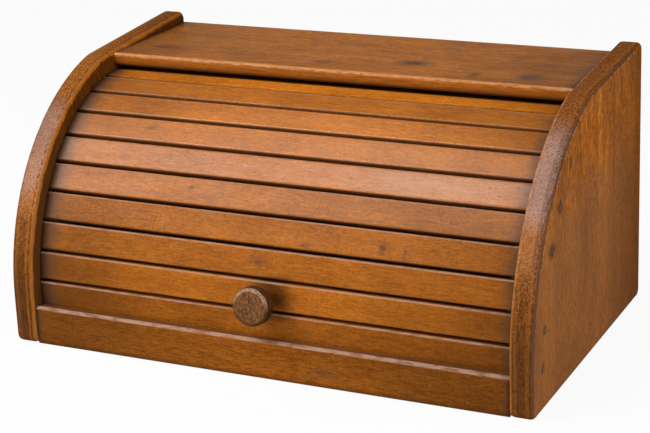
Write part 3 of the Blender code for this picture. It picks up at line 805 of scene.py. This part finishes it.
def cloth_material():
    """Dark, stained canvas whose threads cross at right angles."""
    surface = Surface("backing_canvas")
    waves = {"Vector": surface.place, "Scale": CANVAS_WAVES, "Distortion": 0.4}
    warp = surface.add("ShaderNodeTexWave", waves, "Fac", bands_direction="X")
    weft = surface.add("ShaderNodeTexWave", waves, "Fac", bands_direction="Z")
    weave = surface.times(warp, weft)
    stain = surface.noise(surface.place, *CANVAS_STAINS)
    colour = surface.mix(surface.between(stain, 0.35, 0.65), CANVAS_DARK, CANVAS_LIGHT)
    colour = surface.mix(surface.between(weave, 0.6, 0.1, 0.0, 0.5), colour, CANVAS_HOLES)
    return surface.finish(colour, 0.92, weave, 0.0002, 0.15)


def steel_material(name, light, dark):
    """Bare metal, duller and darker in fine specks."""
    surface = Surface(name)
    grit = surface.noise(surface.place, *METAL_GRIT)
    colour = surface.mix(surface.between(grit, 0.4, 0.7), light, dark)
    surface.shader.inputs["Metallic"].default_value = 1.0
    return surface.finish(colour, surface.between(grit, 0.3, 0.7, 0.40, 0.60), grit, 0.00003)


def dress_cloth_and_screw():
    cloth = cloth_material()
    for number in range(1, len(SLAT_LOOKS) + 1):
        dress(f"cloth_{number:02d}", cloth)
    dress("knob_screw", steel_material("screw_steel", STEEL_LIGHT, STEEL_DARK))


def make_nail(name, place, outward, material):
    """A low domed nail head, half sunk in the surface."""
    mesh = bpy.data.meshes.new(name)
    shape = bmesh.new()
    bmesh.ops.create_uvsphere(shape, u_segments=16, v_segments=10, radius=1.0)
    shape.to_mesh(mesh)
    shape.free()
    mesh.shade_smooth()
    mesh.materials.append(material)
    nail = bpy.data.objects.new(name, mesh)
    bpy.context.scene.collection.objects.link(nail)
    turn = Vector(outward).to_track_quat("Z", "Y").to_matrix().to_4x4()
    size = Matrix.Diagonal((NAIL_RADIUS, NAIL_RADIUS, NAIL_PROUD, 1))
    nail.matrix_world = Matrix.Translation(place) @ turn @ size
    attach(nail, "cabinet")


def make_nails():
    iron = steel_material("nail_iron", IRON_LIGHT, IRON_DARK)
    for side, sign in (("left", -1), ("right", 1)):
        for index, (y, z, *_) in enumerate(NAILS):
            make_nail(f"nail_{side}_{index + 1}", (sign * OUTER_FACE, y, z), (sign, 0, 0), iron)
    low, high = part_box("back_panel")
    row = np.linspace(low.x + BACK_NAIL_INSET, high.x - BACK_NAIL_INSET, BACK_NAIL_COUNT)
    for index, x in enumerate(row):
        make_nail(f"nail_back_{index + 1}", (float(x), high.y, BACK_NAIL_HEIGHT), (0, 1, 0), iron)


def seen_rays(tree):
    """One for camera, glossy and transmission rays, which all see the backdrop."""
    path = tree.nodes.new("ShaderNodeLightPath")
    seen = path.outputs["Is Camera Ray"]
    for kind in ("Is Glossy Ray", "Is Transmission Ray"):
        either = tree.nodes.new("ShaderNodeMath")
        either.operation = "MAXIMUM"
        tree.links.new(seen, either.inputs[0])
        tree.links.new(path.outputs[kind], either.inputs[1])
        seen = either.outputs[0]
    return seen


def paper_material():
    """White paper that glows a little where it is seen, so that only a soft shadow shows on it."""
    material = bpy.data.materials.new("floor_paper")
    material.use_nodes = True
    tree = material.node_tree
    tree.nodes.clear()
    output = tree.nodes.new("ShaderNodeOutputMaterial")
    paper = tree.nodes.new("ShaderNodeBsdfDiffuse")
    paper.inputs["Color"].default_value = FLOOR_PAPER
    glow = tree.nodes.new("ShaderNodeEmission")
    lit = tree.nodes.new("ShaderNodeMixShader")
    lit.inputs[0].default_value = FLOOR_GLOW
    tree.links.new(paper.outputs[0], lit.inputs[1])
    tree.links.new(glow.outputs[0], lit.inputs[2])
    last = tree.nodes.new("ShaderNodeMixShader")
    tree.links.new(seen_rays(tree), last.inputs[0])
    tree.links.new(paper.outputs[0], last.inputs[1])
    tree.links.new(lit.outputs[0], last.inputs[2])
    tree.links.new(last.outputs[0], output.inputs[0])
    return material


def make_floor():
    mesh = bpy.data.meshes.new("floor")
    half = FLOOR_SIZE / 2
    corners = [(-half, -half, 0), (half, -half, 0), (half, half, 0), (-half, half, 0)]
    mesh.from_pydata(corners, [], [(0, 1, 2, 3)])
    mesh.materials.append(paper_material())
    floor = bpy.data.objects.new("floor", mesh)
    bpy.context.scene.collection.objects.link(floor)
    floor.location = (0, 0, -FLOOR_DROP)


def make_world():
    """A white backdrop that darkens overhead, and a dimmer level for the light it gives."""
    world = bpy.data.worlds.new("studio")
    bpy.context.scene.world = world
    world.use_nodes = True
    tree = world.node_tree
    texture = tree.nodes.new("ShaderNodeTexCoord")
    split = tree.nodes.new("ShaderNodeSeparateXYZ")
    tree.links.new(texture.outputs["Generated"], split.inputs[0])
    fade = tree.nodes.new("ShaderNodeMapRange")
    fade.interpolation_type = "SMOOTHSTEP"
    for index, value in enumerate(BACKDROP_FADE + BACKDROP_LEVELS, 1):
        fade.inputs[index].default_value = value
    tree.links.new(split.outputs[2], fade.inputs[0])
    level = tree.nodes.new("ShaderNodeMix")
    level.inputs[2].default_value = AMBIENT
    tree.links.new(seen_rays(tree), level.inputs[0])
    tree.links.new(fade.outputs[0], level.inputs[3])
    background = tree.nodes["Background"]
    background.inputs["Color"].default_value = (1, 1, 1, 1)
    tree.links.new(level.outputs[0], background.inputs["Strength"])


def make_lights():
    for name, (towards, distance, width, height, power) in SOFTBOXES.items():
        light = bpy.data.lights.new(name, "AREA")
        light.shape = "RECTANGLE"
        light.size = width
        light.size_y = height
        light.energy = power
        item = bpy.data.objects.new(name, light)
        bpy.context.scene.collection.objects.link(item)
        back = Vector(towards).normalized()
        level = Vector((0, 1, 0)).cross(back).normalized()
        turn = Matrix((level, back.cross(level), back)).transposed().to_4x4()
        item.matrix_world = Matrix.Translation(LIT_POINT + back * distance) @ turn


def camera_turn():
    """The camera's rotation: it looks along its own -Z and has its own Y upwards."""
    yaw, pitch, roll = (math.radians(a) for a in (CAMERA_YAW, CAMERA_PITCH, CAMERA_ROLL))
    ahead = Vector((-math.sin(yaw) * math.cos(pitch), math.cos(yaw) * math.cos(pitch), -math.sin(pitch)))
    level = Vector((math.cos(yaw), math.sin(yaw), 0))
    upward = level.cross(ahead)
    right = math.cos(roll) * level + math.sin(roll) * upward
    up = -math.sin(roll) * level + math.cos(roll) * upward
    return Matrix((right, up, -ahead)).transposed().to_4x4()


def make_camera():
    camera = bpy.data.cameras.new("camera")
    camera.sensor_width = SENSOR_WIDTH
    camera.lens = CAMERA_FOCAL_PIXELS / IMAGE_WIDTH * SENSOR_WIDTH
    camera.shift_x = -CAMERA_SHIFT_PIXELS[0] / IMAGE_WIDTH
    camera.shift_y = CAMERA_SHIFT_PIXELS[1] / IMAGE_WIDTH
    camera.clip_start, camera.clip_end = CAMERA_CLIP
    item = bpy.data.objects.new("camera", camera)
    bpy.context.scene.collection.objects.link(item)
    item.matrix_world = Matrix.Translation(CAMERA_PLACE) @ camera_turn()
    bpy.context.scene.camera = item


dress_slats()
dress_top_board()
dress_front_rail()
dress_plain_boards()
dress_sides()
dress_cloth_and_screw()
dress_knob()
make_nails()
make_floor()
make_world()
make_lights()
make_camera()
bpy.context.scene.view_settings.view_transform = "Standard"
